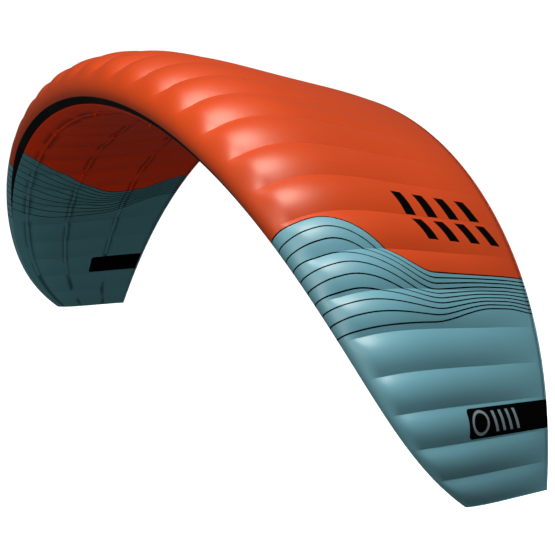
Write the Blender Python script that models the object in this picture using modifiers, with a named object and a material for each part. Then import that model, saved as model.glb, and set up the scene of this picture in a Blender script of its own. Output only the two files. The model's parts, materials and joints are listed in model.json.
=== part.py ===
"""A closed-cell foil kite in its flying arc: cloth skins, ribs, intake strip, valves and bridle tapes.

Metres, +Z up. X runs along the span, the nose faces -Y, and the arc's open side faces -Z.
The origin is on the middle line, on the underside of the front bridle tape.
"""

import math

import bmesh
import bpy
from mathutils import Matrix, Vector

# The arc. Places along the half span run from 0 at the middle to 1 at the tip.
HALF_SPAN = 3.27          # measured along the arc
ROLL_LINEAR = 64.5        # degrees of roll at the tip from a circular arc
ROLL_CUBIC = 15.4         # extra roll towards the tip
CELLS_PER_SIDE = 15       # and one in the middle
CELL_SHRINK = (1.235, -0.11, -0.125)   # cells get narrower towards the tip

# The outline, flat.
ROOT_CHORD = 1.68
NOSE_SWEEP = (0.385, 0.219)            # how far the nose curves back at the tip, s^2 and s^4
NOSE_CLIP = 0.195                      # how far the last cells are cut back
NOSE_CLIP_POWER = 14
TAIL_SWEEP = 0.350                     # how far the tail curves forward at the tip
PITCH_ROOT = 1.0                       # degrees
PITCH_TIP = 2.6                        # added at the tip

# The section, as shares of the chord (weights of a Bernstein row on a round nose).
UPPER_SHAPE = (0.404, 0.362, 0.137, 0.297)
LOWER_SHAPE = (0.303, 0.181, 0.0605)
TIP_THINNING = 0.56
BILLOW = 0.034                         # height of a blown-up cell over its seams, at most
BILLOW_NARROWING = (0.15, 0.39)        # the narrow cells at the tip billow less
BILLOW_FADES = ((0.92, 1.0), (0.70, 1.3))   # how it flattens towards the tail: middle, and wings
SEAM_SHARE = 0.67                      # how much of the billow lies under the outline, at the seams
CREST_RISE = 0.055                     # the nose itself is smooth; the billow is full from this place on

# Cloth stand-ins and the gaps between neighbours.
SKIN = 0.002
TAIL_HALF = 0.0024                     # half the height of the closed tail
PANEL_GAP = 0.0004                     # between two panels, along the span
EDGE_GAP = 0.0018                      # between the intake strip and a skin
RIB = 0.002
RIB_GAP = 0.0015
RIB_END = 0.005                        # a rib's height at its tail end, where the two skins come together
TAPE_GAP = 0.0016

# Ports in the ribs: place as a share of the chord, and the width as a share of the rib's height there.
PORTS = (0.16, 0.36)
PORT_SHARE = 0.55
PORT_SIDES = 8

# The intake strip and what is in it.
STRIP_PLACE = 0.020                    # its middle, along the lower side of the nose
STRIP_HALF = 0.012
STRIP_FULL = 0.50                      # it has its full width up to here
STRIP_END_HALF = 0.0022                # half its width, in metres, at its pointed end
STRIP_LAST_RIB = 10
VALVE_CELLS = (-6, -3, 0, 3, 6)
WINDOW = (0.150, 0.030)                # along the span, along the chord
GAUZE_GAP = 0.0005
GAUZE = 0.0012
FLAP_OVERLAP = 0.006
FLAP = 0.0012
FLAP_GAP = 0.0016

# Bridle rows: place along the chord, and the rib that the tape runs out to.
ROWS = {"front": (0.10, 13), "middle": (0.35, 13), "rear": (0.68, 12)}
TAB_RIBS = (1, 4, 7, 10)
TAPE_WIDTH = 0.025
TAPE = 0.0016
TAB_LENGTH = 0.022
TAB = 0.003

# The hem, the deflation zip and the dirt flaps.
HEM_WIDTH = 0.010
HEM_HEIGHT = 0.0044
HEM_GAP = 0.0008
ZIP_PLACE = 0.945
ZIP_TAPE = (0.225, 0.026, 0.0016)
ZIP_GAP = 0.0012
SLIDER = (0.014, 0.010, 0.005)
SLIDER_GAP = 0.0005
PULL = (0.022, 0.006, 0.0016)
PULL_GAP = 0.0005
ZIP_END = 0.010                        # from the tape's end to the slider at rest
DIRT_PLACE = 0.56
DIRT_PORT = (0.060, 0.010)
DIRT_OVERLAP = 0.004
DIRT_FLAP = 0.0016
DIRT_GAP = 0.0006

NOSE_STEPS = (0.0, 0.1, 0.2, 0.32, 0.45, 0.60, 0.75, 0.88, 1.0)   # square roots of chord places
LOWER_STEPS = (0.30, 0.45, 0.60, 0.75, 0.90, 1.0)
ARC_STEPS = 400

ORANGE = (0.63, 0.063, 0.010)
TEAL = (0.105, 0.235, 0.278)
BLACK = (0.010, 0.011, 0.012)
GAUZE_GREY = (0.030, 0.032, 0.034)
RIB_WHITE = (0.62, 0.63, 0.62)
ZIP_GREY = (0.06, 0.06, 0.065)


def roll_at(s):
    return math.radians(ROLL_LINEAR * s + ROLL_CUBIC * s**3)


def arc_at(s):
    """The arc's own point: X and Z of the chord line at s, by adding up small steps."""
    x = 0.0
    z = 0.0
    step = abs(s) / ARC_STEPS
    for i in range(ARC_STEPS):
        roll = roll_at((i + 0.5) * step)
        x += math.cos(roll) * step
        z -= math.sin(roll) * step
    return math.copysign(x, s) * HALF_SPAN, z * HALF_SPAN


def nose_y(s):
    return NOSE_SWEEP[0] * s**2 + NOSE_SWEEP[1] * s**4 + NOSE_CLIP * abs(s)**NOSE_CLIP_POWER


def tail_y(s):
    return ROOT_CHORD - TAIL_SWEEP * s**2


def rib_place(k):
    """Where rib k sits along the half span; k counts from 0 on each side of the middle cell."""
    u = (k + 0.5) / (CELLS_PER_SIDE + 0.5)
    return CELL_SHRINK[0] * u + CELL_SHRINK[1] * u**2 + CELL_SHRINK[2] * u**3


def signed_place(i):
    """Seam i, counted from the left tip (0) to the right tip (31)."""
    k = i - CELLS_PER_SIDE - 1
    if k >= 0:
        return rib_place(k)
    return -rib_place(-k - 1)


SEAMS = 2 * CELLS_PER_SIDE + 2
SEAM_PLACES = [signed_place(i) for i in range(SEAMS)]
_stations = {}


def station(s):
    """The section's frame at s: its nose point, chord, normal and directions."""
    key = round(s, 9)
    if key not in _stations:
        x, z = arc_at(s)
        roll = math.copysign(roll_at(abs(s)), s)
        pitch = math.radians(PITCH_ROOT + PITCH_TIP * s**2)
        out = Vector((math.sin(roll), 0.0, math.cos(roll)))
        aft = Vector((0.0, math.cos(pitch), 0.0)) - out * math.sin(pitch)
        up = Vector((0.0, math.sin(pitch), 0.0)) + out * math.cos(pitch)
        chord = tail_y(s) - nose_y(s)
        _stations[key] = (Vector((x, nose_y(s), z)), chord, aft, up)
    return _stations[key]


def thinning(s):
    return 1.0 - TIP_THINNING * s**4


def heights(place, s):
    """Upper and lower height over the chord line, in metres, at a share of the chord."""
    chord = station(s)[1] * thinning(s)
    rest = 1.0 - place
    hump = math.sqrt(place) * rest
    a = UPPER_SHAPE
    b = LOWER_SHAPE
    upper = hump * (a[0] * rest**3 + 3 * a[1] * place * rest**2
                    + 3 * a[2] * place**2 * rest + a[3] * place**3)
    lower = hump * (b[0] * rest**2 + 2 * b[1] * place * rest + b[2] * place**2)
    return upper * chord + TAIL_HALF * place, -lower * chord - TAIL_HALF * place


def section_point(s, place, upper):
    """A 2D point of the section at s: along the chord and over it, in metres."""
    up, down = heights(place, s)
    return Vector((place * station(s)[1], up if upper else down))


def crest_height(s, place):
    """How far a blown-up cell of the upper skin stands over its seams."""
    rise = min(1.0, place / CREST_RISE)
    nose_fade = rise**2 * (3.0 - 2.0 * rise)
    wing = min(1.0, max(0.0, (abs(s) - 0.45) / 0.30))
    share, power = [a + (b - a) * wing for a, b in zip(*BILLOW_FADES)]
    tail_fade = (1.0 - share * place**power) * (1.0 - place**8)
    narrow = BILLOW_NARROWING[0] * s**2 + BILLOW_NARROWING[1] * s**8
    return BILLOW * (1.0 - narrow) * nose_fade * tail_fade


def seam_point(s, place, upper):
    """A 2D point on a seam: the upper seams lie under the outline, between the blown-up cells."""
    point = section_point(s, place, upper)
    if not upper:
        return point
    return point - section_normal(s, place, True) * (SEAM_SHARE * crest_height(s, place))


def section_normal(s, place, upper):
    """The section's outward 2D normal at a share of the chord."""
    low = max(place - 0.002, 0.0)
    high = min(place + 0.002, 1.0)
    along = section_point(s, high, upper) - section_point(s, low, upper)
    if place == 0.0:
        return Vector((-1.0, 0.0))
    normal = Vector((-along.y, along.x)) if upper else Vector((along.y, -along.x))
    return normal.normalized()


def to_world(s, flat):
    nose, chord, aft, up = station(s)
    return nose + aft * flat.x + up * flat.y - ORIGIN


def skin_point(s, place, upper, out=0.0):
    flat = section_point(s, place, upper) + section_normal(s, place, upper) * out
    return to_world(s, flat)


def strip_edges(s):
    """The chord places of the intake strip's two edges, on the lower side of the nose."""
    chord = station(s)[1]
    last = rib_place(STRIP_LAST_RIB)
    fade = min(1.0, max(0.0, (last - abs(s)) / (last - STRIP_FULL)))
    half = max(STRIP_HALF * fade, STRIP_END_HALF / chord)
    return STRIP_PLACE - half, STRIP_PLACE + half


def material(name, colour, roughness, metallic=0.0):
    made = bpy.data.materials.get(name)
    if made is None:
        made = bpy.data.materials.new(name)
        made.use_nodes = True
        shader = made.node_tree.nodes["Principled BSDF"]
        shader.inputs["Base Color"].default_value = (*colour, 1.0)
        shader.inputs["Roughness"].default_value = roughness
        shader.inputs["Metallic"].default_value = metallic
    return made


def add_object(name, bm, paint, pivot=None, group="kite"):
    """Makes an object of a finished bmesh; a moving piece gets its origin at its pivot."""
    if pivot is not None:
        bmesh.ops.translate(bm, verts=bm.verts, vec=-pivot)
    mesh = bpy.data.meshes.new(name)
    bm.to_mesh(mesh)
    bm.free()
    mesh.materials.append(paint)
    made = bpy.data.objects.new(name, mesh)
    if pivot is not None:
        made.location = pivot
    bpy.data.collections[group].objects.link(made)
    return made


def loft(rows):
    """A sheet through rows of points, one row for each section."""
    bm = bmesh.new()
    rings = []
    for row in rows:
        rings.append([bm.verts.new(point) for point in row])
    for left, right in zip(rings, rings[1:]):
        for a, b, c, d in zip(left, right, right[1:], left[1:]):
            bm.faces.new((a, b, c, d))
    return bm


def tube(rows):
    """A closed body through rings of points, with its two ends filled."""
    bm = bmesh.new()
    rings = []
    for row in rows:
        rings.append([bm.verts.new(point) for point in row])
    for left, right in zip(rings, rings[1:]):
        for i in range(len(left)):
            j = (i + 1) % len(left)
            bm.faces.new((left[i], right[i], right[j], left[j]))
    bm.faces.new(rings[0][::-1])
    bm.faces.new(rings[-1])
    bmesh.ops.recalc_face_normals(bm, faces=bm.faces)
    return bm


def thicken(sheet, thickness):
    solid = sheet.modifiers.new("cloth", "SOLIDIFY")
    solid.thickness = thickness
    solid.offset = -1.0
    solid.use_even_offset = True


def face_outwards(bm, outside):
    """Turns a sheet so that its first face looks along the given direction."""
    bm.normal_update()
    bm.faces.ensure_lookup_table()
    middle = bm.faces[len(bm.faces) // 2]
    if middle.normal.dot(outside) < 0.0:
        bmesh.ops.reverse_faces(bm, faces=bm.faces)


def upper_row(s, crest):
    """The upper skin's points at s, from the intake strip round the nose to the tail."""
    share = 1.0 - SEAM_SHARE if crest else -SEAM_SHARE
    edge = strip_edges(s)[0]
    row = [skin_point(s, edge - EDGE_GAP / station(s)[1] * 0.5, False)]
    for step in NOSE_STEPS:
        row.append(skin_point(s, step**2, True, share * crest_height(s, step**2)))
    return row


def lower_row(s):
    edge = strip_edges(s)[1]
    row = [skin_point(s, edge + EDGE_GAP / station(s)[1], False)]
    for step in LOWER_STEPS:
        row.append(skin_point(s, step**2, False))
    return row


def panel_places(first, last):
    """Seam places of a panel, pulled in at its ends to leave the gap to the next panel."""
    places = [SEAM_PLACES[i] for i in range(first, last + 1)]
    if first > 0:
        places[0] += panel_shift(first)
    if last < SEAMS - 1:
        places[-1] -= panel_shift(last)
    return places


def panel_shift(i):
    """Half the gap at seam i, and room for the cloth's thickness, which leans towards the next panel."""
    narrow = min(SEAM_PLACES[i + 1] - SEAM_PLACES[i], SEAM_PLACES[i] - SEAM_PLACES[i - 1]) * HALF_SPAN
    slope = 2.0 * crest_height(SEAM_PLACES[i], CREST_RISE) / narrow
    return (0.5 * PANEL_GAP + SKIN * slope) / HALF_SPAN


def upper_panel(name, first, last, paint):
    places = panel_places(first, last)
    rows = [upper_row(places[0], False)]
    for left, right in zip(places, places[1:]):
        rows.append(upper_row(0.5 * (left + right), True))
        rows.append(upper_row(right, False))
    bm = loft(rows)
    middle = 0.5 * (places[0] + places[-1])
    face_outwards(bm, station(middle)[3])
    thicken(add_object(name, bm, paint), SKIN)


def lower_panel(name, first, last, paint):
    bm = loft([lower_row(s) for s in panel_places(first, last)])
    middle = 0.5 * (SEAM_PLACES[first] + SEAM_PLACES[last])
    face_outwards(bm, -station(middle)[3])
    thicken(add_object(name, bm, paint), SKIN)


def inset_outline(points, distance):
    """Moves a closed 2D outline inwards, keeping its corners sharp."""
    count = len(points)
    moved = []
    for i in range(count):
        before = (points[i] - points[i - 1]).normalized()
        after = (points[(i + 1) % count] - points[i]).normalized()
        turn = (before + after).normalized()
        inward = Vector((-turn.y, turn.x))
        stretch = max(0.35, before.dot(turn))
        moved.append(points[i] + inward * (distance / stretch))
    return moved


def sweep_slope(i):
    """The steepest sweep of the nose beside seam i, along the span."""
    steepest = 0.0
    for j in (i - 1, i + 1):
        if 0 <= j < SEAMS:
            rise = nose_y(SEAM_PLACES[j]) - nose_y(SEAM_PLACES[i])
            run = (SEAM_PLACES[j] - SEAM_PLACES[i]) * HALF_SPAN
            steepest = max(steepest, abs(rise / run))
    return steepest


def rib_end(s, inset):
    """The last chord place where a rib still has its least height between the skins."""
    place = 0.98
    while place > 0.5:
        height = seam_point(s, place, True).y - section_point(s, place, False).y
        if height > 2.0 * inset + RIB_END:
            break
        place -= 0.005
    return place


def rib_outline(s, inset):
    """A rib's corners, under those of the skins, up to where the wing gets thin."""
    end = rib_end(s, inset)
    upper = [step**2 for step in NOSE_STEPS if step**2 < end - 0.04] + [end]
    lower = [*strip_edges(s)] + [t**2 for t in LOWER_STEPS if t**2 < end - 0.04] + [end]
    outline = [section_point(s, place, False) for place in lower]
    outline += [seam_point(s, place, True) for place in reversed(upper)]
    return inset_outline(outline, inset)


def rib(name, i, paint):
    s = SEAM_PLACES[i]
    slope = sweep_slope(i)
    inset = SKIN * math.hypot(1.0, slope) + 0.5 * RIB * slope + RIB_GAP
    loops = [rib_outline(s, inset)]
    for place in PORTS:
        up = seam_point(s, place, True).y - inset
        down = section_point(s, place, False).y + inset
        middle = Vector((place * station(s)[1], 0.5 * (up + down)))
        radius = PORT_SHARE * 0.5 * (up - down)
        turns = [2.0 * math.pi * j / PORT_SIDES for j in range(PORT_SIDES)]
        loops.append([middle + radius * Vector((math.cos(a), math.sin(a))) for a in turns])
    outwards = 0.0
    if i in (0, SEAMS - 1):
        loops = [loops[0], dirt_port_outline(s)]
        outwards = -0.5 * RIB
    add_object(name, plate(s, loops, RIB, outwards), paint)


def plate(s, loops, thickness, outwards=0.0):
    """A flat plate in the plane of the section at s, from 2D loops: an outline and its holes."""
    bm = bmesh.new()
    for loop in loops:
        ring = [bm.verts.new((point.x, point.y, 0.0)) for point in loop]
        for a, b in zip(ring, ring[1:] + ring[:1]):
            bm.edges.new((a, b))
    bmesh.ops.triangle_fill(bm, edges=bm.edges, use_beauty=True)
    flat = bmesh.ops.extrude_face_region(bm, geom=bm.faces[:])
    raised = [part for part in flat["geom"] if isinstance(part, bmesh.types.BMVert)]
    bmesh.ops.translate(bm, verts=raised, vec=(0.0, 0.0, thickness))
    bmesh.ops.translate(bm, verts=bm.verts, vec=(0.0, 0.0, -0.5 * thickness))
    bmesh.ops.recalc_face_normals(bm, faces=bm.faces)
    bm.transform(section_matrix(s, outwards))
    return bm


def section_matrix(s, outwards=0.0):
    """Takes the section's own 2D axes to the world; its Z runs along the span, to the right."""
    nose, chord, aft, up = station(s)
    along = aft.cross(up)
    frame = Matrix((aft, up, along)).transposed().to_4x4()
    frame.translation = nose - ORIGIN + along * math.copysign(1.0, s) * outwards
    return frame


def dirt_port_outline(s):
    middle = dirt_middle(s)
    long = 0.5 * DIRT_PORT[0]
    high = 0.5 * DIRT_PORT[1]
    corners = ((-long, -high), (long, -high), (long, high), (-long, high))
    return [middle + Vector(corner) for corner in corners]


def dirt_middle(s):
    up, down = heights(DIRT_PLACE, s)
    return Vector((DIRT_PLACE * station(s)[1], 0.5 * (up + down)))


def block(size, frame):
    bm = bmesh.new()
    bmesh.ops.create_cube(bm, size=1.0)
    bmesh.ops.scale(bm, verts=bm.verts, vec=size)
    bm.transform(frame)
    return bm


def frame_from(middle, across, along):
    """A box's frame: X along the span, Y along the chord, Z outwards from the cloth."""
    x = across.normalized()
    z = x.cross(along).normalized()
    if z.z > 0.0:
        z = -z
    y = z.cross(x)
    frame = Matrix((x, y, z)).transposed().to_4x4()
    frame.translation = middle
    return frame


def intake_cell(cell):
    """The strip's flat stretch in one cell, as a frame at its middle; its Z looks out of the wing."""
    left = SEAM_PLACES[cell + CELLS_PER_SIDE]
    right = SEAM_PLACES[cell + CELLS_PER_SIDE + 1]
    corners = [skin_point(s, edge, False) for s in (left, right) for edge in strip_edges(s)]
    middle = sum(corners, Vector()) / 4.0
    across = corners[2] + corners[3] - corners[0] - corners[1]
    along = corners[1] + corners[3] - corners[0] - corners[2]
    return frame_from(middle, across, along)


def intake_strip(paint):
    first = CELLS_PER_SIDE - STRIP_LAST_RIB
    last = SEAMS - 1 - first
    rows = []
    for s in SEAM_PLACES[first:last + 1]:
        chord = station(s)[1]
        low, high = strip_edges(s)
        rows.append([
            skin_point(s, low + 0.5 * EDGE_GAP / chord, False),
            skin_point(s, high - 0.5 * EDGE_GAP / chord, False),
        ])
    bm = loft(rows)
    face_outwards(bm, -station(0.0)[3])
    strip = add_object("intake_strip", bm, paint)
    thicken(strip, SKIN)
    for cell in VALVE_CELLS:
        size = (WINDOW[0], WINDOW[1], 0.02)
        cutter = add_object(f"window_cutter_{cell}", block(size, intake_cell(cell)), paint, group="cutters")
        cutter.display_type = "WIRE"
        cutter.hide_render = True
        cut = strip.modifiers.new("window", "BOOLEAN")
        cut.operation = "DIFFERENCE"
        cut.solver = "EXACT"
        cut.object = cutter


def valve(number, cell, gauze_paint, flap_paint):
    """The gauze in one window, and the flap that hangs behind it from the window's front edge."""
    frame = intake_cell(cell)
    gauze = (WINDOW[0] - 2 * GAUZE_GAP, WINDOW[1] - 2 * GAUZE_GAP, GAUZE)
    inner = Matrix.Translation((0.0, 0.0, -0.5 * SKIN))
    add_object(f"intake_gauze_{number}", block(gauze, frame @ inner), gauze_paint)
    flap = (WINDOW[0] + 2 * FLAP_OVERLAP, WINDOW[1] + FLAP_OVERLAP, FLAP)
    behind = Matrix.Translation((0.0, 0.0, -SKIN - FLAP_GAP - 0.5 * FLAP))
    pivot = frame @ Vector((0.0, -0.5 * flap[1], -SKIN - FLAP_GAP - 0.5 * FLAP))
    add_object(f"valve_flap_{number}", block(flap, frame @ behind), flap_paint, pivot)


def lower_facet(s, place):
    """The point on the lower skin's flat facet at a chord place, and the facet's 2D direction and normal."""
    steps = [step**2 for step in LOWER_STEPS]
    end = next(i for i in range(1, len(steps)) if place < steps[i])
    front = section_point(s, steps[end - 1], False)
    back = section_point(s, steps[end], False)
    along = (back - front).normalized()
    point = front.lerp(back, (place - steps[end - 1]) / (steps[end] - steps[end - 1]))
    return point, along, Vector((along.y, -along.x))


def tape_ring(s, place):
    """The four corners of a tape's section at s, lying on the outside of the lower skin."""
    point, along, normal = lower_facet(s, place)
    corners = ((-0.5, 0.0), (0.5, 0.0), (0.5, 1.0), (-0.5, 1.0))
    flat = [point + along * (a * TAPE_WIDTH) + normal * (TAPE_GAP + b * TAPE) for a, b in corners]
    return [to_world(s, corner) for corner in flat]


def tab_rings(s, place):
    """The tape's section on both sides of a tab, square to the rib, so that the tab's faces are flat."""
    half = section_matrix(s).to_3x3() @ Vector((0.0, 0.0, 0.5 * TAB))
    ring = tape_ring(s, place)
    return [[point - half for point in ring], [point + half for point in ring]]


def bridle_tape(row, paint):
    """A tape along one bridle row, with a tab standing out at each rib that carries a line."""
    place, last = ROWS[row]
    tabs = [side * rib_place(k) for side in (-1, 1) for k in TAB_RIBS]
    rings = []
    for s in SEAM_PLACES:
        if s in tabs:
            rings += tab_rings(s, place)
        elif abs(s) <= rib_place(last):
            rings.append(tape_ring(s, place))
    bm = tube(rings)
    for s in tabs:
        pull_tab(bm, s, place)
    bmesh.ops.recalc_face_normals(bm, faces=bm.faces)
    add_object(f"{row}_bridle_tape", bm, paint)


def pull_tab(bm, s, place):
    """Draws the tape's outer face at a rib out into a tab."""
    out = -station(s)[3]
    middle = sum(tape_ring(s, place)[2:], Vector()) / 2.0
    face = min(bm.faces, key=lambda f: (f.calc_center_median() - middle).length)
    made = bmesh.ops.extrude_discrete_faces(bm, faces=[face])["faces"][0]
    top = made.verts[:]
    bmesh.ops.translate(bm, verts=top, vec=out * TAB_LENGTH)
    bmesh.ops.remove_doubles(bm, verts=bm.verts, dist=1e-5)


def hem(paint):
    rows = []
    for s in SEAM_PLACES:
        nose, chord, aft, up = station(s)
        front = Vector((chord + HEM_GAP, 0.0))
        corners = ((0.0, -0.5), (0.0, 0.5), (1.0, 0.5), (1.0, -0.5))
        rows.append([to_world(s, front + Vector((a * HEM_WIDTH, b * HEM_HEIGHT))) for a, b in corners])
    add_object("trailing_edge_hem", tube(rows), paint)


def zip_frame():
    """The zip's frame on the lower skin in the middle cell: X along the zip, Z down out of the wing."""
    right = SEAM_PLACES[CELLS_PER_SIDE + 1]
    before = LOWER_STEPS[-2]**2
    front = 0.5 * (skin_point(right, before, False) + skin_point(-right, before, False))
    back = 0.5 * (skin_point(right, 1.0, False) + skin_point(-right, 1.0, False))
    share = (ZIP_PLACE - before) / (1.0 - before)
    frame = frame_from(front.lerp(back, share), Vector((1.0, 0.0, 0.0)), back - front)
    return frame


def deflation_zip(tape_paint, metal_paint):
    frame = zip_frame()
    level = ZIP_GAP + 0.5 * ZIP_TAPE[2]
    add_object("deflation_zip_tape", block(ZIP_TAPE, frame @ Matrix.Translation((0, 0, level))), tape_paint)
    level = ZIP_GAP + ZIP_TAPE[2] + SLIDER_GAP + 0.5 * SLIDER[2]
    start = -0.5 * ZIP_TAPE[0] + ZIP_END + 0.5 * SLIDER[0]
    seat = frame @ Matrix.Translation((start, 0.0, level))
    add_object("zip_slider", block(SLIDER, seat), metal_paint, seat.translation.copy())
    below = 0.5 * SLIDER[2] + PULL_GAP + 0.5 * PULL[2]
    pivot = seat @ Vector((0.0, 0.0, below))
    pull = seat @ Matrix.Translation((0.5 * PULL[0], 0.0, below))
    add_object("zip_pull", block(PULL, pull), metal_paint, pivot)


def dirt_flap(name, s, paint):
    """A flap over the port in the outermost rib, hinged along its front edge."""
    size = (DIRT_PORT[0] + 2 * DIRT_OVERLAP, DIRT_PORT[1] + 2 * DIRT_OVERLAP, DIRT_FLAP)
    middle = dirt_middle(s)
    frame = section_matrix(s)
    side = math.copysign(1.0, s)
    out = side * (DIRT_GAP + 0.5 * DIRT_FLAP)
    seat = frame @ Matrix.Translation((middle.x, middle.y, out))
    pivot = seat @ Vector((-0.5 * size[0], 0.0, 0.0))
    add_object(name, block(size, seat), paint, pivot)


def clear_scene():
    for old in list(bpy.data.objects):
        bpy.data.objects.remove(old, do_unlink=True)
    for name in ("kite", "cutters"):
        group = bpy.data.collections.get(name) or bpy.data.collections.new(name)
        if group.name not in bpy.context.scene.collection.children:
            bpy.context.scene.collection.children.link(group)
    bpy.data.collections["cutters"].hide_render = True


ORIGIN = Vector((0.0, 0.0, 0.0))
_under = [tape_ring(side * rib_place(0), ROWS["front"][0])[2:] for side in (-1, 1)]
ORIGIN = sum(_under[0] + _under[1], Vector()) / 4.0


def build():
    clear_scene()
    orange = material("orange_ripstop", ORANGE, 0.42)
    teal = material("teal_ripstop", TEAL, 0.42)
    black = material("black_cloth", BLACK, 0.6)
    gauze = material("intake_gauze", GAUZE_GREY, 0.8)
    white = material("rib_cloth", RIB_WHITE, 0.55)
    dark = material("zip_tape", ZIP_GREY, 0.7)
    metal = material("zip_metal", (0.45, 0.45, 0.46), 0.35, 1.0)
    panels = (("left", 0, 7, teal), ("centre", 7, 24, orange), ("right", 24, SEAMS - 1, teal))
    for side, first, last, paint in panels:
        upper_panel(f"upper_skin_{side}", first, last, paint)
        lower_panel(f"lower_skin_{side}", first, last, paint)
    for i in range(SEAMS):
        rib(f"rib_{i + 1:02d}", i, white)
    intake_strip(black)
    for number, cell in enumerate(VALVE_CELLS, start=1):
        valve(number, cell, gauze, black)
    for row in ROWS:
        bridle_tape(row, dark)
    hem(teal)
    deflation_zip(dark, metal)
    dirt_flap("dirt_flap_left", -1.0, teal)
    dirt_flap("dirt_flap_right", 1.0, teal)


build()
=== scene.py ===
import json
import math

import bmesh
import bpy
from mathutils import Matrix, Vector

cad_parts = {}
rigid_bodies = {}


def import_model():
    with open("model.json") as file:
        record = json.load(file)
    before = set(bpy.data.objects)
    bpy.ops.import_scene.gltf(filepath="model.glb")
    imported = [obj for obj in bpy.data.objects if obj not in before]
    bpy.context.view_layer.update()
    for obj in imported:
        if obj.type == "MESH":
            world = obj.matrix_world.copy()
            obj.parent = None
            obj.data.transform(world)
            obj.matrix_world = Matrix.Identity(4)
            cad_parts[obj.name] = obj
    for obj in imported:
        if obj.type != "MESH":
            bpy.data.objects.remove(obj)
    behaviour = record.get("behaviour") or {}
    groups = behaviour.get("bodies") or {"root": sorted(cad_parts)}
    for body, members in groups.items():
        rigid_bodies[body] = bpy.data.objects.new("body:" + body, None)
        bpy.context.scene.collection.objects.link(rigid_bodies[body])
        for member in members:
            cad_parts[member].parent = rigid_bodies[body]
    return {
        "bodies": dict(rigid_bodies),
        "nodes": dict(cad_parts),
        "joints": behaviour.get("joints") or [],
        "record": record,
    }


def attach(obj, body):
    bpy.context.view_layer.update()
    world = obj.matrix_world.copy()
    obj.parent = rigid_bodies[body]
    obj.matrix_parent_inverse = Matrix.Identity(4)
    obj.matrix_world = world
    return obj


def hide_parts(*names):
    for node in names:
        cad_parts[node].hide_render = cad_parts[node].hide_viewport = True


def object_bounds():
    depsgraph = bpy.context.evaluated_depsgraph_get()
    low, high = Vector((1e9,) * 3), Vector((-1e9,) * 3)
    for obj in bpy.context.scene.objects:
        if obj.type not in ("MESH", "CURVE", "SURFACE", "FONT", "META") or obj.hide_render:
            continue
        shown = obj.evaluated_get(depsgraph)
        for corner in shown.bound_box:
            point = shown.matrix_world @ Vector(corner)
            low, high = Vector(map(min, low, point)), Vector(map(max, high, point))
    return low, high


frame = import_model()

CAD_BOX = [list(map(float, corner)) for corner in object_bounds()]

# The kite's own dimensions, in metres and degrees, the same as the CAD's.
# Places along the half span run from 0 at the middle to 1 at the tip.
HALF_SPAN = 3.27
ROLL_LINEAR = 64.5
ROLL_CUBIC = 15.4
CELLS_PER_SIDE = 15
CELL_SHRINK = (1.235, -0.11, -0.125)
ROOT_CHORD = 1.68
NOSE_SWEEP = (0.385, 0.219)
NOSE_CLIP = 0.195
NOSE_CLIP_POWER = 14
TAIL_SWEEP = 0.350
PITCH_ROOT = 1.0
PITCH_TIP = 2.6
UPPER_SHAPE = (0.404, 0.362, 0.137, 0.297)
LOWER_SHAPE = (0.303, 0.181, 0.0605)
TIP_THINNING = 0.56
ORIGIN = Vector((0.0, 0.165704, -0.140042))   # the middle of the front bridle tape
CELLS = 2 * CELLS_PER_SIDE + 1

# The cloth.
CLOTH = 0.0007            # thickness as drawn; the real cloth is 0.05 mm
UPPER_BILLOW = 0.034      # how far a cell blows up over its seams, at most
LOWER_BILLOW = 0.011
BILLOW_NARROWING = (0.15, 0.39)             # narrow cells, towards the tips, billow less
CREST_RISE = 0.055        # the nose itself is smooth; the billow is full from this place on
BILLOW_FADES = ((0.92, 1.0), (0.70, 1.3))   # how it flattens towards the tail: middle, and wings
SEAM_SHARE = 0.67         # how much of the upper billow lies under the outline
TAIL_LIFT = 0.0006        # each skin stands this far off the chord line at the tail
STRIP_PLACE = 0.020
STRIP_HALF = 0.012
STRIP_FULL = 0.50
STRIP_LAST_RIB = 10
VALVE_CELLS = (-6, -3, 0, 3, 6)
WINDOW = (0.150, 0.030)
ROWS = {"front": (0.10, 13), "middle": (0.35, 13), "rear": (0.68, 12)}
TAB_RIBS = (1, 4, 7, 10)
TAPE_WIDTH = 0.025
LOOP = (0.016, 0.018, 0.006)   # a bridle loop's width, length and eye
HEM_WIDTH = 0.010
ZIP_PLACE = 0.945
ZIP_FRONT = 0.90          # square root of the place where the zip's flat stretch begins
ZIP_TAPE = (0.225, 0.026)
DIRT_PLACE = 0.56
DIRT_PORT = (0.060, 0.010)
ACROSS = 12               # steps across one cell

# The two-colour wave and its lines, as places along the half span.
WAVE_LINES = 10
LINE_WIDTH = 0.0070
LOWER_SHIFT = 4.0         # the lower skin's flat pattern lies this far behind the upper's
BAND_CORNER = 0.022
BARS = {"start": 0.25, "count": 4, "rows": ((1.690, 1.820), (1.850, 1.975)),
        "pitch": 0.150, "share": 0.46, "lean": 0.35}
# The emblem on the upper band, in metres from the band's start.
RING = {"middle": 0.082, "radii": (0.045, 0.059)}
STROKES = {"start": 0.175, "length": 0.200, "half": 0.050, "pitch": 0.050, "share": 0.38, "lean": 0.25}
STRAP_HALF = 0.020        # half the width of a strap's painted shadow, as a share of the chord
STRAP_BLUR = 0.016


def step_up(x, low, high):
    """0 below low, 1 above high, and a smooth step between."""
    t = min(1.0, max(0.0, (x - low) / (high - low)))
    return t * t * (3.0 - 2.0 * t)


def upper_wave(place):
    first = 0.566 + 0.097 * step_up(place, 0.10, 0.50)
    last = 0.739 - 0.020 * step_up(place, 0.40, 0.76) + 0.006 * step_up(place, 0.85, 1.0)
    return first, last


def lower_wave(place):
    first = 0.480 + 0.168 * step_up(place, -0.05, 0.62) - 0.040 * step_up(place, 0.70, 1.05)
    last = 0.708 + 0.012 * step_up(place, 0.0, 0.30) - 0.045 * step_up(place, 0.55, 1.0)
    return first, last


# ------------------------------------------------------------------ the wing's shape

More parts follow.
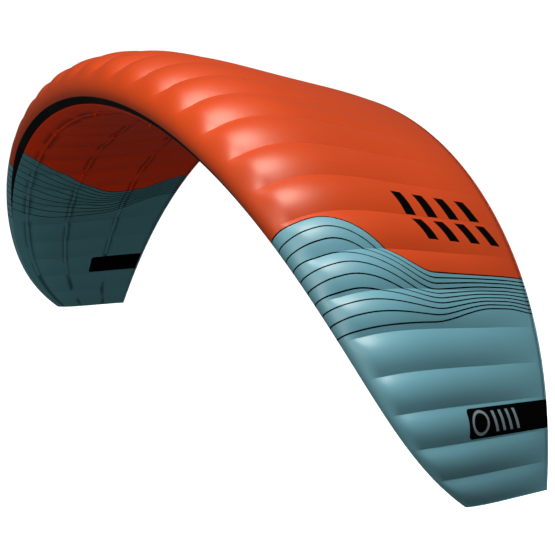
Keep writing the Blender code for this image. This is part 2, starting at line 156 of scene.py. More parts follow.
def arc_at(s):
    """X and Z of the chord line at s, by adding up small steps along the arc."""
    x = 0.0
    z = 0.0
    steps = 240
    step = abs(s) / steps
    for i in range(steps):
        m = (i + 0.5) * step
        roll = math.radians(ROLL_LINEAR * m + ROLL_CUBIC * m**3)
        x += math.cos(roll) * step
        z -= math.sin(roll) * step
    return math.copysign(x, s) * HALF_SPAN, z * HALF_SPAN


def rib_place(k):
    u = (k + 0.5) / (CELLS_PER_SIDE + 0.5)
    return CELL_SHRINK[0] * u + CELL_SHRINK[1] * u**2 + CELL_SHRINK[2] * u**3


SEAMS = [-rib_place(k) for k in reversed(range(CELLS_PER_SIDE + 1))]
SEAMS += [rib_place(k) for k in range(CELLS_PER_SIDE + 1)]


class Section:
    """The wing's section at one place along the span."""

    made = {}

    def __init__(self, s):
        x, z = arc_at(s)
        a = abs(s)
        roll = math.copysign(math.radians(ROLL_LINEAR * a + ROLL_CUBIC * a**3), s)
        pitch = math.radians(PITCH_ROOT + PITCH_TIP * s * s)
        nose_y = NOSE_SWEEP[0] * s**2 + NOSE_SWEEP[1] * s**4 + NOSE_CLIP * a**NOSE_CLIP_POWER
        self.s = s
        self.lead = nose_y                    # where the nose lies on the cloth laid flat
        self.chord = ROOT_CHORD - TAIL_SWEEP * s**2 - nose_y
        self.out = Vector((math.sin(roll), 0.0, math.cos(roll)))
        self.aft = Vector((0.0, math.cos(pitch), 0.0)) - self.out * math.sin(pitch)
        self.up = Vector((0.0, math.sin(pitch), 0.0)) + self.out * math.cos(pitch)
        self.along = self.aft.cross(self.up)
        self.nose = Vector((x, nose_y, z)) - ORIGIN
        self.thin = 1.0 - TIP_THINNING * s**4
        self.slack = 1.0 - BILLOW_NARROWING[0] * s**2 - BILLOW_NARROWING[1] * s**8
        wing = min(1.0, max(0.0, (a - 0.45) / 0.30))
        self.fade = [x + (y - x) * wing for x, y in zip(*BILLOW_FADES)]

    @classmethod
    def at(cls, s):
        key = round(s, 7)
        if key not in cls.made:
            cls.made[key] = cls(s)
        return cls.made[key]

    def flat(self, t):
        """A point of the outline: t squared is the chord place; t below 0 is the lower side."""
        place = t * t
        rest = 1.0 - place
        if t >= 0.0:
            a = UPPER_SHAPE
            h = a[0] * rest**3 + 3 * a[1] * place * rest**2 + 3 * a[2] * place**2 * rest + a[3] * place**3
        else:
            b = LOWER_SHAPE
            h = b[0] * rest**2 + 2 * b[1] * place * rest + b[2] * place**2
        lift = math.copysign(TAIL_LIFT * place, t)
        return place * self.chord, t * rest * h * self.chord * self.thin + lift

    def normal(self, t):
        low = self.flat(max(t - 0.003, -1.0))
        high = self.flat(min(t + 0.003, 1.0))
        dx = high[0] - low[0]
        dy = high[1] - low[1]
        size = math.hypot(dx, dy)
        return -dy / size, dx / size

    def point(self, t, out=0.0):
        x, y = self.flat(t)
        if out:
            n = self.normal(t)
            x += n[0] * out
            y += n[1] * out
        return self.nose + self.aft * x + self.up * y

    def strip(self):
        """The intake strip's edges, as t on the lower side."""
        last = rib_place(STRIP_LAST_RIB)
        fade = min(1.0, max(0.0, (last - abs(self.s)) / (last - STRIP_FULL)))
        half = STRIP_HALF * fade
        return -math.sqrt(STRIP_PLACE - half), -math.sqrt(STRIP_PLACE + half)


def crest(section, t):
    """How far a cell stands over its seams at this point of the outline."""
    place = t * t
    if t >= 0.0:
        size = UPPER_BILLOW * step_up(place, 0.0, CREST_RISE)
        size *= (1.0 - section.fade[0] * place**section.fade[1]) * (1.0 - place**8)
    else:
        size = LOWER_BILLOW * step_up(place, 0.03, 0.2) * (1.0 - place**6)
    return size * section.slack


def billow(section, t, v):
    """The cloth's distance from the outline, v across the cell: 0 and 1 at its seams."""
    bulge = 4.0 * v * (1.0 - v)
    return crest(section, t) * (bulge - SEAM_SHARE if t > 0.0 else bulge)


def cell_of(u, first=0, last=CELLS):
    """Place along the half span, and place across its cell, at share u of a run of cells."""
    x = first + u * (last - first)
    i = min(int(x + 1e-6), last - 1)
    v = x - i
    return SEAMS[i] + (SEAMS[i + 1] - SEAMS[i]) * v, v, i


# ------------------------------------------------------------------ making pieces

def finish_piece(name, bm, material, body="canopy", replaces=(), smooth=True):
    mesh = bpy.data.meshes.new(name)
    for face in bm.faces:
        face.smooth = smooth
    bm.to_mesh(mesh)
    bm.free()
    mesh.materials.append(material)
    piece = bpy.data.objects.new(name, mesh)
    bpy.context.scene.collection.objects.link(piece)
    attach(piece, body)
    if replaces:
        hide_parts(*replaces)
    return piece


def thicken(piece, thickness, offset=-1.0):
    solid = piece.modifiers.new("cloth", "SOLIDIFY")
    solid.thickness = thickness
    solid.offset = offset
    solid.use_even_offset = True
    return piece


def grid(across, along):
    """A flat grid with its corners at 0 and 1, to be drawn over a surface."""
    bm = bmesh.new()
    bmesh.ops.create_grid(bm, x_segments=across, y_segments=along, size=0.5)
    bmesh.ops.translate(bm, verts=bm.verts, vec=(0.5, 0.5, 0.0))
    return bm


PATTERN = ("wave", "pitch", "seam", "place", "span", "cellwise")


def draw_over(bm, surface, wave, lower=False):
    """Lays a grid over a surface and writes the pattern's measures into its points."""
    layers = {key: bm.verts.layers.float.new(key) for key in PATTERN}
    uv = bm.loops.layers.uv.new("cloth")
    flat = {}
    for vert in bm.verts:
        u, w, _ = vert.co
        s, v, section, t, point = surface(u, w)
        place = t * t
        first, last = wave(place)
        pitch = (last - first) / (WAVE_LINES - 1)
        vert[layers["wave"]] = (abs(s) - first) / pitch
        vert[layers["pitch"]] = pitch * HALF_SPAN
        vert[layers["seam"]] = min(v, 1.0 - v) * 2.0
        vert[layers["place"]] = place
        vert[layers["span"]] = s * HALF_SPAN
        vert[layers["cellwise"]] = v
        back = place if lower else math.copysign(place, t)
        flat[vert] = (s * HALF_SPAN, section.lead + back * section.chord + (LOWER_SHIFT if lower else 0.0))
        vert.co = point
    for face in bm.faces:
        for loop in face.loops:
            loop[uv].uv = flat[loop.vert]
    return layers


def sharpen_seams(bm, layers):
    """The cloth creases along its seams."""
    seam = layers["seam"]
    for edge in bm.edges:
        if edge.verts[0][seam] < 1e-4 and edge.verts[1][seam] < 1e-4:
            edge.smooth = False


def face_along(bm, direction):
    """Turns an open sheet so that its middle face looks this way."""
    bm.normal_update()
    total = sum((face.normal * face.calc_area() for face in bm.faces), Vector())
    if total.dot(direction) < 0.0:
        bmesh.ops.reverse_faces(bm, faces=bm.faces)


def upper_surface(u, w):
    s, v, _ = cell_of(u)
    section = Section.at(s)
    edge = section.strip()[0]
    t = edge + (1.0 - edge) * w
    return s, v, section, t, section.point(t, billow(section, t, v))


def lower_surface(u, w):
    s, v, _ = cell_of(u)
    section = Section.at(s)
    edge = section.strip()[1]
    t = edge + (-1.0 - edge) * w
    return s, v, section, t, section.point(t, billow(section, t, v))


def main_cloth(name, surface, wave, along, side, material):
    """One of the wing's two skins: panels sewn to the ribs, and one continuous cloth."""
    bm = grid(CELLS * ACROSS, along)
    layers = draw_over(bm, surface, wave, side == "lower")
    sharpen_seams(bm, layers)
    face_along(bm, Vector((0.0, 0.0, 1.0 if side == "upper" else -1.0)))
    nodes = [f"{side}_skin_{part}" for part in ("left", "centre", "right")]
    piece = finish_piece(name, bm, material, replaces=nodes)
    thicken(piece, CLOTH)


def strip_surface(u, w):
    """The black intake strip, between the two skins round the nose."""
    first = CELLS_PER_SIDE - STRIP_LAST_RIB
    s, v, _ = cell_of(u, first, CELLS - first)
    section = Section.at(s)
    front, back = section.strip()
    t = front + (back - front) * w
    return s, v, section, t, section.point(t)


def window_of(face, layers, v_layer):
    """Which intake window a face of the strip lies in, or none."""
    corners = [vert[layers["span"]] for vert in face.verts]
    s = 0.5 * (min(corners) + max(corners)) / HALF_SPAN
    share = sum(vert[v_layer] for vert in face.verts) / len(face.verts)
    for number, cell in enumerate(VALVE_CELLS, start=1):
        left = SEAMS[cell + CELLS_PER_SIDE]
        right = SEAMS[cell + CELLS_PER_SIDE + 1]
        middle = 0.5 * (left + right)
        if abs(s - middle) * HALF_SPAN < 0.5 * WINDOW[0] and 0.125 < share < 0.875:
            return number
    return 0


def strip_part(name, number, material, replaces):
    """The strip without its windows (number 0), or the gauze in one of them."""
    cells = 2 * STRIP_LAST_RIB + 1
    bm = grid(cells * ACROSS, 8)
    v_layer = bm.verts.layers.float.new("across_strip")
    for vert in bm.verts:
        vert[v_layer] = vert.co.y
    layers = draw_over(bm, strip_surface, upper_wave)
    others = [face for face in bm.faces if window_of(face, layers, v_layer) != number]
    bmesh.ops.delete(bm, geom=others, context="FACES")
    face_along(bm, Vector((0.0, -1.0, -0.5)))
    piece = finish_piece(name, bm, material, replaces=replaces)
    thicken(piece, CLOTH)


def intake(black, gauze):
    strip_part("intake_strip_cloth", 0, black, ["intake_strip"])
    for number in range(1, len(VALVE_CELLS) + 1):
        strip_part(f"intake_mesh_{number}", number, gauze, [f"intake_gauze_{number}"])


def tip_panel(side, material):
    """The flat panel that closes a tip, with the dirt port cut in it."""
    section = Section.at(side)
    steps = [i / 48.0 for i in range(49)]
    outline = [section.flat(-t) for t in reversed(steps[1:])] + [section.flat(t) for t in steps]
    middle = port_middle(section)
    long, high = 0.5 * DIRT_PORT[0], 0.5 * DIRT_PORT[1]
    port = [(middle[0] + a * long, middle[1] + b * high) for a, b in ((-1, -1), (1, -1), (1, 1), (-1, 1))]
    bm = bmesh.new()
    for loop in (outline, port):
        ring = [bm.verts.new(section.nose + section.aft * x + section.up * y) for x, y in loop]
        for a, b in zip(ring, ring[1:] + ring[:1]):
            bm.edges.new((a, b))
    bmesh.ops.triangle_fill(bm, edges=bm.edges, use_beauty=True)
    face_along(bm, Vector((side, 0.0, 0.0)))
    name = "left" if side < 0 else "right"
    node = "rib_01" if side < 0 else f"rib_{CELLS + 1:02d}"
    piece = finish_piece(f"tip_panel_{name}", bm, material, replaces=[node], smooth=False)
    thicken(piece, CLOTH)


def port_middle(section):
    t = math.sqrt(DIRT_PLACE)
    return DIRT_PLACE * section.chord, 0.5 * (section.flat(t)[1] + section.flat(-t)[1])


def tip_flap(side, material):
    """The flap over a tip's dirt port: cloth narrowed at one end and bowed slightly out from the panel."""
    section = Section.at(side)
    long, high = DIRT_PORT[0] + 0.008, DIRT_PORT[1] + 0.008
    middle = port_middle(section)
    bm = grid(16, 6)
    for vert in bm.verts:
        x, y = vert.co.x - 0.5, vert.co.y - 0.5
        y *= 1.0 - 0.25 * step_up(x, 0.40, 0.5)
        out = 0.0011 + 0.0006 * (1.0 - 4.0 * y * y)
        place = section.aft * (middle[0] + x * long) + section.up * (middle[1] + y * high)
        vert.co = section.nose + place + section.along * side * out
    face_along(bm, Vector((side, 0.0, 0.0)))
    name = "left" if side < 0 else "right"
    piece = finish_piece(f"tip_flap_{name}", bm, material, body=f"dirt_port_{name}",
                         replaces=[f"dirt_flap_{name}"])
    thicken(piece, 0.0009, 1.0)


def tape_with_loops(row, tape_cloth):
    """A reinforcing tape along one bridle row, and the webbing loops that stand out of it."""
    place, last = ROWS[row]
    first = CELLS_PER_SIDE - last

    def surface(u, w):
        s, v, _ = cell_of(u, first, CELLS - first)
        section = Section.at(s)
        t = -math.sqrt(place + (w - 0.5) * TAPE_WIDTH / section.chord)
        return s, v, section, t, section.point(t, billow(section, t, v) + 0.0008)

    bm = grid((2 * last + 1) * ACROSS, 3)
    draw_over(bm, surface, lower_wave, True)
    face_along(bm, Vector((0.0, 0.0, -1.0)))
    for k in TAB_RIBS:
        for side in (-1, 1):
            loop_at(bm, side * rib_place(k), place)
    piece = finish_piece(f"{row}_row_tape", bm, tape_cloth, replaces=[f"{row}_bridle_tape"])
    thicken(piece, 0.0008, 1.0)


def loop_at(bm, s, place):
    """A flattened loop of webbing, its eye along the chord."""
    section = Section.at(s)
    t = -math.sqrt(place)
    normal = section.normal(t)
    out = section.aft * normal[0] + section.up * normal[1]
    chordwise = out.cross(section.along)
    base = section.point(t, 0.0008)
    layers = {key: bm.verts.layers.float[key] for key in PATTERN}
    first, last = lower_wave(place)
    pitch = (last - first) / (WAVE_LINES - 1)
    made = bmesh.ops.create_grid(bm, x_segments=28, y_segments=2, size=0.5)
    for vert in made["verts"]:
        turn = (vert.co.x + 0.5) * 2.0 * math.pi
        width = vert.co.y * LOOP[0]
        wide = 0.5 * LOOP[2] * math.sin(turn) * (0.35 + 0.65 * math.sin(0.5 * turn)**2)
        deep = 0.5 * LOOP[1] * (1.0 - math.cos(turn))
        vert.co = base + section.along * wide + out * deep + chordwise * width
        vert[layers["wave"]] = (abs(s) - first) / pitch
        vert[layers["pitch"]] = 1.0
        vert[layers["seam"]] = 1.0
        vert[layers["place"]] = 0.0
        vert[layers["span"]] = 0.0


def hem(material):
    """The trailing edge: the two skins folded over each other and sewn."""

    def surface(u, w):
        s, v, _ = cell_of(u)
        section = Section.at(s)
        back = HEM_WIDTH / section.chord
        turn = 2.0 * w - 1.0
        t = -math.copysign(math.sqrt(1.0 - back * max(0.0, (abs(turn) - 0.25) / 0.75)), turn)
        point = section.point(t, billow(section, t, v) + 0.0005)
        if abs(turn) < 0.25:
            top = section.point(1.0, 0.0005)
            under = section.point(-1.0, 0.0005)
            share = 0.5 + turn / 0.5
            point = top.lerp(under, share) + section.aft * 0.0012 * math.cos(turn * 2.0 * math.pi)
        return s, v, section, t, point

    bm = grid(CELLS * ACROSS, 8)
    draw_over(bm, surface, upper_wave)
    face_along(bm, Vector((0.0, 1.0, 0.0)))
    piece = finish_piece("trailing_edge_fold", bm, material, replaces=["trailing_edge_hem"])
    thicken(piece, 0.0006, 1.0)


def zip_frame():
    """The zip's frame on the middle cell's underside: X along the zip, Z out of the wing."""
    right = Section.at(rib_place(0))
    left = Section.at(-rib_place(0))
    front = 0.5 * (right.point(-ZIP_FRONT) + left.point(-ZIP_FRONT))
    back = 0.5 * (right.point(-1.0) + left.point(-1.0))
    share = (ZIP_PLACE - ZIP_FRONT**2) / (1.0 - ZIP_FRONT**2)
    x = Vector((1.0, 0.0, 0.0))
    z = -x.cross(back - front).normalized()
    frame = Matrix((x, z.cross(x), z)).transposed().to_4x4()
    frame.translation = front.lerp(back, share)
    return frame


def block(bm, size, frame, bevel=0.0):
    made = bmesh.ops.create_cube(bm, size=1.0)["verts"]
    bmesh.ops.scale(bm, verts=made, vec=size)
    bmesh.ops.transform(bm, verts=made, matrix=frame)
    if bevel:
        edges = list({edge for vert in made for edge in vert.link_edges})
        bmesh.ops.bevel(bm, geom=edges, offset=bevel, segments=2, profile=0.5, affect="EDGES", material=-1)


def deflation_zip(tape, coil, metal):
    frame = zip_frame()
    bm = grid(90, 8)
    for vert in bm.verts:
        x, y = (vert.co.x - 0.5) * ZIP_TAPE[0], (vert.co.y - 0.5) * ZIP_TAPE[1]
        vert.co = frame @ Vector((x, y, 0.0016 + 0.0006 * (1.0 - (2.0 * y / ZIP_TAPE[1])**2)))
    face_along(bm, Vector((0.0, 0.0, -1.0)))
    piece = finish_piece("zip_cloth", bm, tape, replaces=["deflation_zip_tape"])
    thicken(piece, 0.0006)
    bm = bmesh.new()
    count = 100
    for i in range(count):
        x = (i + 0.5 - 0.5 * count) * 0.0021
        side = 1.0 if i % 2 else -1.0
        block(bm, (0.0013, 0.0034, 0.0012), frame @ Matrix.Translation((x, side * 0.0009, 0.0027)))
    finish_piece("zip_coil", bm, coil, smooth=False)
    # The slider's body is two shells on a post; its pull swings on a bridge.
    level = 0.0012 + 0.0016 + 0.0005
    x = -0.5 * ZIP_TAPE[0] + 0.010 + 0.007
    bm = bmesh.new()
    block(bm, (0.014, 0.009, 0.0014), frame @ Matrix.Translation((x, 0.0, level + 0.0022)), 0.0005)
    block(bm, (0.005, 0.004, 0.0020), frame @ Matrix.Translation((x + 0.001, 0.0, level + 0.0010)), 0.0004)
    block(bm, (0.011, 0.0022, 0.0018), frame @ Matrix.Translation((x, 0.0, level + 0.0034)), 0.0006)
    finish_piece("slider_body", bm, metal, body="slider", replaces=["zip_slider"])
    bm = bmesh.new()
    pivot = level + 0.005 + 0.0005 + 0.0008
    block(bm, (0.020, 0.006, 0.0012), frame @ Matrix.Translation((x + 0.012, 0.0, pivot)), 0.0005)
    block(bm, (0.004, 0.0044, 0.0016), frame @ Matrix.Translation((x + 0.001, 0.0, pivot)), 0.0005)
    finish_piece("pull_plate", bm, metal, body="pull", replaces=["zip_pull"])


# ------------------------------------------------------------------ materials

def srgb(code):
    """A hex colour as the linear values that the shader wants."""
    values = [int(code[i:i + 2], 16) / 255.0 for i in (1, 3, 5)]
    linear = [c / 12.92 if c <= 0.04045 else ((c + 0.055) / 1.055)**2.4 for c in values]
    return (*linear, 1.0)


def add(tree, kind, settings=None, **links):
    """Adds a node; links are its inputs, by name or as i0, i1..., each a value or another node's socket."""
    node = tree.nodes.new(kind)
    for key, value in (settings or {}).items():
        setattr(node, key, value)
    for key, value in links.items():
        name = key.replace("_", " ")
        socket = node.inputs[int(key[1:])] if key[0] == "i" and key[1:].isdigit() else node.inputs[name]
        if isinstance(value, bpy.types.NodeSocket):
            tree.links.new(value, socket)
        else:
            socket.default_value = value
    return node


def start_material(name, roughness, **shader_values):
    material = bpy.data.materials.new(name)
    material.use_nodes = True
    tree = material.node_tree
    shader = tree.nodes["Principled BSDF"]
    shader.inputs["Roughness"].default_value = roughness
    for key, value in shader_values.items():
        shader.inputs[key.replace("_", " ")].default_value = value
    return material, tree, shader


def maths(tree, operation, *values):
    links = {f"i{i}": value for i, value in enumerate(values)}
    return add(tree, "ShaderNodeMath", {"operation": operation}, **links).outputs[0]


def measure(tree, name):
    return add(tree, "ShaderNodeAttribute", {"attribute_name": name}).outputs["Fac"]


def mixed(tree, share, low, high):
    node = add(tree, "ShaderNodeMix", {"data_type": "RGBA"})
    for index, value in ((0, share), (6, low), (7, high)):
        if isinstance(value, bpy.types.NodeSocket):
            tree.links.new(value, node.inputs[index])
        else:
            node.inputs[index].default_value = value
    return node.outputs[2]


def soft_step(tree, value, edge, blur):
    """0 below the edge, 1 above it, with a narrow ramp."""
    settings = {"interpolation_type": "SMOOTHSTEP", "clamp": True}
    return add(tree, "ShaderNodeMapRange", settings, i0=value, i1=edge - blur, i2=edge + blur).outputs[0]


def ripstop(name, orange, teal, band_start, gloss=1.0, marks=False, painted_strap_shade=False):
    """Silicone-coated ripstop nylon: a smooth satin film over a fine square grid of thicker threads.
    The coating gives soft broad highlights; the grid and slight puckers break them up close by."""
    material, tree, shader = start_material(name, 0.45, Specular_IOR_Level=gloss)
    shader.inputs["Specular Tint"].default_value = srgb("#fff2e6")
    black = srgb("#020303")
    wave = measure(tree, "wave")
    colour = mixed(tree, soft_step(tree, wave, 0.0, 0.02), orange, teal)
    # The colour varies a little from place to place, as dyed cloth does.
    place = add(tree, "ShaderNodeTexCoord").outputs["Object"]
    drift = add(tree, "ShaderNodeTexNoise", i2=1.4, Vector=place).outputs["Fac"]
    drift = add(tree, "ShaderNodeMapRange", i0=drift, i1=0.3, i2=0.7, i3=0.94, i4=1.04).outputs[0]
    colour = add(tree, "ShaderNodeHueSaturation", Color=colour, Value=drift).outputs[0]
    # Painted shadow: soft broken dark bands along the bridle rows, where the straps inside would shade the
    # thin cloth.
    if painted_strap_shade:
        colour = mixed(tree, maths(tree, "MULTIPLY", strap_shadows(tree), 0.62), colour, black)
    # Printed lines, one at each whole number of the wave.
    near = maths(tree, "ROUND", wave)
    off = maths(tree, "ABSOLUTE", maths(tree, "SUBTRACT", wave, near))
    metres = maths(tree, "MULTIPLY", off, measure(tree, "pitch"))
    line = maths(tree, "LESS_THAN", metres, 0.5 * LINE_WIDTH)
    inside = maths(tree, "LESS_THAN", maths(tree, "ABSOLUTE", maths(tree, "SUBTRACT", wave, 4.5)), 4.9)
    ink = maths(tree, "MULTIPLY", line, inside)
    if band_start:
        ink = maths(tree, "MAXIMUM", ink, band_mask(tree, band_start))
    if marks:
        ink = maths(tree, "MAXIMUM", ink, slanted_bars(tree))
    colour = mixed(tree, ink, colour, black)
    if marks:
        colour = mixed(tree, band_emblem(tree, band_start), colour, srgb("#8fa3a8"))
    # The ink lies flat in the weave, duller than the coating.
    dull = maths(tree, "MULTIPLY", ink, -0.96 * gloss)
    tree.links.new(maths(tree, "ADD", gloss, dull), shader.inputs["Specular IOR Level"])
    # A line of thread holes beside each seam.
    seam = seam_metres(tree)
    stitch = maths(tree, "LESS_THAN", maths(tree, "ABSOLUTE", maths(tree, "SUBTRACT", seam, 0.003)), 0.0006)
    colour = mixed(tree, maths(tree, "MULTIPLY", stitch, 0.18), colour, black)
    tree.links.new(colour, shader.inputs["Base Color"])
    tree.links.new(cloth_bump(tree, seam), shader.inputs["Normal"])
    return material


def strap_shadows(tree):
    """Painted shadow of the strap inside along each bridle row: a soft, broken dark band on the thin cloth.
    """
    chord_share = measure(tree, "place")
    shade = 0.0
    for place, _ in ROWS.values():
        off = maths(tree, "ABSOLUTE", maths(tree, "SUBTRACT", chord_share, place))
        strap = maths(tree, "SUBTRACT", 1.0, soft_step(tree, off, STRAP_HALF, STRAP_BLUR))
        shade = maths(tree, "MAXIMUM", shade, strap)
    place = add(tree, "ShaderNodeTexCoord").outputs["Object"]
    breaks = add(tree, "ShaderNodeTexNoise", i2=5.0, Vector=place).outputs["Fac"]
    return maths(tree, "MULTIPLY", shade, soft_step(tree, breaks, 0.46, 0.06))


def on_cloth(tree):
    """Metres along the span, and aft of the middle of the nose, on the cloth laid flat."""
    uv = add(tree, "ShaderNodeUVMap", {"uv_map": "cloth"}).outputs[0]
    parts = add(tree, "ShaderNodeSeparateXYZ", Vector=uv)
    return parts.outputs[0], parts.outputs[1]


def between(tree, value, low, high):
    middle = 0.5 * (low + high)
    off = maths(tree, "ABSOLUTE", maths(tree, "SUBTRACT", value, middle))
    return maths(tree, "LESS_THAN", off, 0.5 * (high - low))


def slanted_bars(tree):
    """Four broad slanted bars in two rows, printed on the right wing's top."""
    span, chord = on_cloth(tree)
    leaned = maths(tree, "SUBTRACT", chord, maths(tree, "MULTIPLY", span, BARS["lean"]))
    leaned = maths(tree, "SUBTRACT", leaned, BARS["start"])
    share = maths(tree, "FRACT", maths(tree, "DIVIDE", leaned, BARS["pitch"]))
    bar = maths(tree, "LESS_THAN", share, BARS["share"])
    first, second = (between(tree, span, *row) for row in BARS["rows"])
    rows = maths(tree, "MAXIMUM", first, second)
    inside = between(tree, leaned, 0.0, BARS["count"] * BARS["pitch"])
    return maths(tree, "MULTIPLY", maths(tree, "MULTIPLY", bar, rows), inside)


def seam_metres(tree):
    """Distance to the nearest seam; the measure runs from 0 at a seam to 1 in mid-cell."""
    return maths(tree, "MULTIPLY", measure(tree, "seam"), 0.11)


def band_place():
    """The black band's middle and half width along the span, in the last cell but two."""
    inner = rib_place(12)
    width = rib_place(13) - inner
    return (inner + 0.525 * width) * HALF_SPAN, 0.425 * width * HALF_SPAN


def band_start_metres(start):
    """Where the band begins on the flat cloth; only the lower skin's begins behind mid-chord."""
    section = Section.at(rib_place(12.5))
    return section.lead + start * section.chord + (0.0 if start < 0.5 else LOWER_SHIFT)


def band_mask(tree, start):
    """The band runs from its start to the tail; its two inner corners are round."""
    middle, half = band_place()
    span, chord = on_cloth(tree)
    side = maths(tree, "ABSOLUTE", maths(tree, "SUBTRACT", maths(tree, "ABSOLUTE", span), middle))
    first = band_start_metres(start)
    across = maths(tree, "MAXIMUM", maths(tree, "SUBTRACT", side, half - BAND_CORNER), 0.0)
    ahead = maths(tree, "SUBTRACT", first + BAND_CORNER, chord)
    ahead = maths(tree, "MAXIMUM", ahead, 0.0)
    radius = maths(tree, "SQRT", maths(tree, "ADD", maths(tree, "MULTIPLY", across, across),
                                       maths(tree, "MULTIPLY", ahead, ahead)))
    return maths(tree, "LESS_THAN", radius, BAND_CORNER)


def band_emblem(tree, start):
    """A plain ring and four slanted strokes, in pale ink on the upper band."""
    middle, _ = band_place()
    span, chord = on_cloth(tree)
    first = band_start_metres(start)
    off = maths(tree, "SUBTRACT", maths(tree, "ABSOLUTE", span), middle)
    ahead = maths(tree, "SUBTRACT", chord, first + RING["middle"])
    radius = maths(tree, "SQRT", maths(tree, "ADD", maths(tree, "MULTIPLY", off, off),
                                       maths(tree, "MULTIPLY", ahead, ahead)))
    ring = between(tree, radius, *RING["radii"])
    leaned = maths(tree, "SUBTRACT", chord, maths(tree, "MULTIPLY", off, STROKES["lean"]))
    leaned = maths(tree, "SUBTRACT", leaned, first + STROKES["start"])
    share = maths(tree, "FRACT", maths(tree, "DIVIDE", leaned, STROKES["pitch"]))
    strokes = maths(tree, "LESS_THAN", share, STROKES["share"])
    strokes = maths(tree, "MULTIPLY", strokes, between(tree, off, -STROKES["half"], STROKES["half"]))
    strokes = maths(tree, "MULTIPLY", strokes, between(tree, leaned, 0.0, STROKES["length"]))
    return maths(tree, "MULTIPLY", maths(tree, "MAXIMUM", ring, strokes), 0.85)


def cloth_bump(tree, seam):
    """Ripstop grid at 5 mm, seam puckers a few centimetres long, and a slight crumple."""
    uv = add(tree, "ShaderNodeUVMap", {"uv_map": "cloth"}).outputs[0]
    parts = add(tree, "ShaderNodeSeparateXYZ", Vector=uv)
    threads = None
    for axis in (0, 1):
        saw = maths(tree, "FRACT", maths(tree, "DIVIDE", parts.outputs[axis], 0.005))
        thread = maths(tree, "GREATER_THAN", saw, 0.88)
        threads = thread if threads is None else maths(tree, "MAXIMUM", threads, thread)
    stretched = add(tree, "ShaderNodeMapping", {"vector_type": "POINT"}, Vector=uv, Scale=(6.0, 34.0, 1.0))
    pucker = add(tree, "ShaderNodeTexNoise", i2=1.0, Vector=stretched.outputs[0]).outputs["Fac"]
    near = maths(tree, "SUBTRACT", 1.0, soft_step(tree, seam, 0.018, 0.018))
    pucker = maths(tree, "MULTIPLY", pucker, near)
    crumple = add(tree, "ShaderNodeTexNoise", i2=9.0, Vector=uv).outputs["Fac"]
    height = maths(tree, "MULTIPLY", threads, 0.00006)
    height = maths(tree, "ADD", height, maths(tree, "MULTIPLY", pucker, 0.0012))
    height = maths(tree, "ADD", height, maths(tree, "MULTIPLY", crumple, 0.0010))
    return add(tree, "ShaderNodeBump", Strength=0.7, Distance=1.0, Height=height).outputs[0]


def plain_cloth(name, code, roughness, thread_mm=1.0):
    """Plain woven cloth, its threads drawn as a fine bump that keeps its highlights soft."""
    material, tree, shader = start_material(name, roughness, Specular_IOR_Level=0.2)
    place = add(tree, "ShaderNodeTexCoord").outputs["Object"]
    drift = add(tree, "ShaderNodeTexNoise", i2=3.0, Vector=place).outputs["Fac"]
    drift = add(tree, "ShaderNodeMapRange", i0=drift, i1=0.3, i2=0.7, i3=0.9, i4=1.1).outputs[0]
    colour = add(tree, "ShaderNodeHueSaturation", Color=srgb(code), Value=drift).outputs[0]
    tree.links.new(colour, shader.inputs["Base Color"])
    weave = add(tree, "ShaderNodeTexNoise", i2=1000.0 / thread_mm, Vector=place).outputs["Fac"]
    height = maths(tree, "MULTIPLY", weave, 0.0001 * thread_mm)
    bump = add(tree, "ShaderNodeBump", Strength=0.6, Distance=1.0, Height=height).outputs[0]
    tree.links.new(bump, shader.inputs["Normal"])
    return material


# ------------------------------------------------------------------ camera, light and floor

CAMERA_AZIMUTH = 58.4
CAMERA_ELEVATION = 10.51
CAMERA_ROLL = 2.02
CAMERA_DISTANCE = 8.637
CAMERA_LENS = 91.5
CAMERA_TARGET = Vector((0.0604, 1.1977, -1.1360)) - ORIGIN
LIGHT_DISTANCE = 9.0
KEY = ((0.34, -0.24, 0.91), 6.5, 900.0)      # direction from the kite, size and power
FRONT = ((0.42, -0.89, 0.18), 4.0, 200.0)
FLOOR_DROP = 0.9                             # the floor lies this far under the tips


def camera():
    azimuth, elevation, roll = map(math.radians, (CAMERA_AZIMUTH, CAMERA_ELEVATION, CAMERA_ROLL))
    back = Vector((math.sin(azimuth) * math.cos(elevation), -math.cos(azimuth) * math.cos(elevation),
                   math.sin(elevation)))
    right = Vector((math.cos(azimuth), math.sin(azimuth), 0.0))
    up = back.cross(right)
    turned = right * math.cos(roll) + up * math.sin(roll)
    upright = up * math.cos(roll) - right * math.sin(roll)
    data = bpy.data.cameras.new("camera")
    data.lens = CAMERA_LENS
    data.sensor_width = 36.0
    data.clip_end = 200.0
    made = bpy.data.objects.new("camera", data)
    place = Matrix((turned, upright, back)).transposed().to_4x4()
    place.translation = CAMERA_TARGET + back * CAMERA_DISTANCE
    made.matrix_world = place
    bpy.context.scene.collection.objects.link(made)
    bpy.context.scene.camera = made


def softbox(name, place, target, size, power):
    data = bpy.data.lights.new(name, "AREA")
    data.shape = "DISK"
    data.size = size
    data.energy = power
    made = bpy.data.objects.new(name, data)
    made.location = place
    made.rotation_euler = (Vector(target) - Vector(place)).to_track_quat("-Z", "Y").to_euler()
    made.visible_camera = False
    bpy.context.scene.collection.objects.link(made)


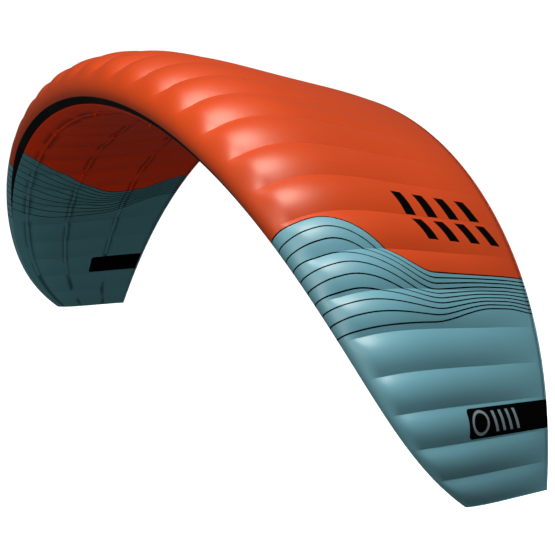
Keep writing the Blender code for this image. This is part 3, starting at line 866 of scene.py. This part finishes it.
def studio():
    """A large soft light from above, a smaller one on the nose, a faint bounce, and a white floor."""
    world = bpy.data.worlds.new("studio")
    world.use_nodes = True
    world.node_tree.nodes["Background"].inputs[0].default_value = (1.0, 1.0, 1.0, 1.0)
    world.node_tree.nodes["Background"].inputs[1].default_value = 0.08
    bpy.context.scene.world = world
    bpy.context.scene.view_settings.view_transform = "Standard"
    middle = Vector((0.2, 0.6, -0.6))
    for name, (direction, size, power) in (("key", KEY), ("front", FRONT)):
        softbox(name, middle + Vector(direction) * LIGHT_DISTANCE, middle, size, power)
    softbox("bounce", (-0.3, 0.8, -2.6), (-0.3, 0.8, 0.0), 2.5, 3.5)
    # A white sweep all round: it glows for the eye, and throws no light up under the kite.
    bm = bmesh.new()
    bmesh.ops.create_uvsphere(bm, u_segments=48, v_segments=24, radius=70.0)
    low = CAD_BOX[0][2] - FLOOR_DROP
    for vert in bm.verts:
        vert.co.z = max(vert.co.z, low)
    bmesh.ops.reverse_faces(bm, faces=bm.faces)
    mesh = bpy.data.meshes.new("floor")
    bm.to_mesh(mesh)
    bm.free()
    floor = bpy.data.objects.new("floor", mesh)
    material, tree, shader = start_material("white_paper", 0.9)
    shader.inputs["Base Color"].default_value = srgb("#f4f4f4")
    shader.inputs["Emission Color"].default_value = (1.0, 1.0, 1.0, 1.0)
    shader.inputs["Emission Strength"].default_value = 1.0
    # Its back is clear, so that the kite can be looked at from under the floor.
    back = add(tree, "ShaderNodeNewGeometry").outputs["Backfacing"]
    clear = add(tree, "ShaderNodeBsdfTransparent").outputs[0]
    both = add(tree, "ShaderNodeMixShader", i0=back, i1=shader.outputs[0], i2=clear).outputs[0]
    tree.links.new(both, tree.nodes["Material Output"].inputs["Surface"])
    mesh.materials.append(material)
    bpy.context.scene.collection.objects.link(floor)
    floor.visible_diffuse = False
    floor.visible_glossy = False
    floor.visible_shadow = False


def metal(name):
    """Nickel-plated zinc: satin, with fine casting grain."""
    material, tree, shader = start_material(name, 0.32, Metallic=1.0)
    shader.inputs["Base Color"].default_value = srgb("#b9bbbd")
    place = add(tree, "ShaderNodeTexCoord").outputs["Object"]
    grain = add(tree, "ShaderNodeTexNoise", i2=900.0, Vector=place).outputs["Fac"]
    bump = add(tree, "ShaderNodeBump", Strength=0.3, Distance=0.0002, Height=grain).outputs[0]
    tree.links.new(bump, shader.inputs["Normal"])
    return material


def dress_cad(ribs, flaps):
    """The pieces that stay as modelled: ribs inside the wing, and the valves' flaps."""
    for piece in bpy.data.objects:
        if piece.type == "MESH" and piece.name.startswith(("rib_", "valve_flap_")):
            piece.data.materials.clear()
            piece.data.materials.append(ribs if piece.name.startswith("rib_") else flaps)


def main():
    camera()
    studio()
    orange, teal = srgb("#d04200"), srgb("#6ba6b3")
    upper = ripstop("coated_ripstop_nylon_upper", orange, teal, 0.385, marks=True)
    # The lower skin and its tapes are the same cloth as the upper. Their darker teal is painted shade, and
    # their redder, brighter orange is painted orange light bounced inside the arch.
    lower = ripstop("coated_ripstop_nylon_lower", srgb("#ee3a00"), srgb("#579199"), 0.555, gloss=0.12,
                    painted_strap_shade=True)
    tape_cloth = ripstop("ripstop_reinforcing_tape", srgb("#ee3a00"), srgb("#579199"), 0.0, gloss=0.12)
    black = plain_cloth("black_polyester_cloth", "#050606", 0.8)
    gauze = plain_cloth("black_intake_mesh", "#101112", 0.85, 2.0)
    white = plain_cloth("white_rib_cloth", "#e4e6e6", 0.6)
    tip = plain_cloth("teal_tip_cloth", "#669fab", 0.45)
    zip_cloth = plain_cloth("zip_tape_cloth", "#1b1c1e", 0.8)
    coil = plain_cloth("zip_coil_nylon", "#26282a", 0.4)
    main_cloth("upper_cloth", upper_surface, upper_wave, 72, "upper", upper)
    main_cloth("lower_cloth", lower_surface, lower_wave, 48, "lower", lower)
    intake(black, gauze)
    for side in (-1, 1):
        tip_panel(side, tip)
        tip_flap(side, tip)
    for row in ROWS:
        tape_with_loops(row, tape_cloth)
    hem(upper)
    deflation_zip(zip_cloth, coil, metal("nickel_plated_zinc"))
    dress_cad(white, plain_cloth("black_valve_cloth", "#141516", 0.5))


main()
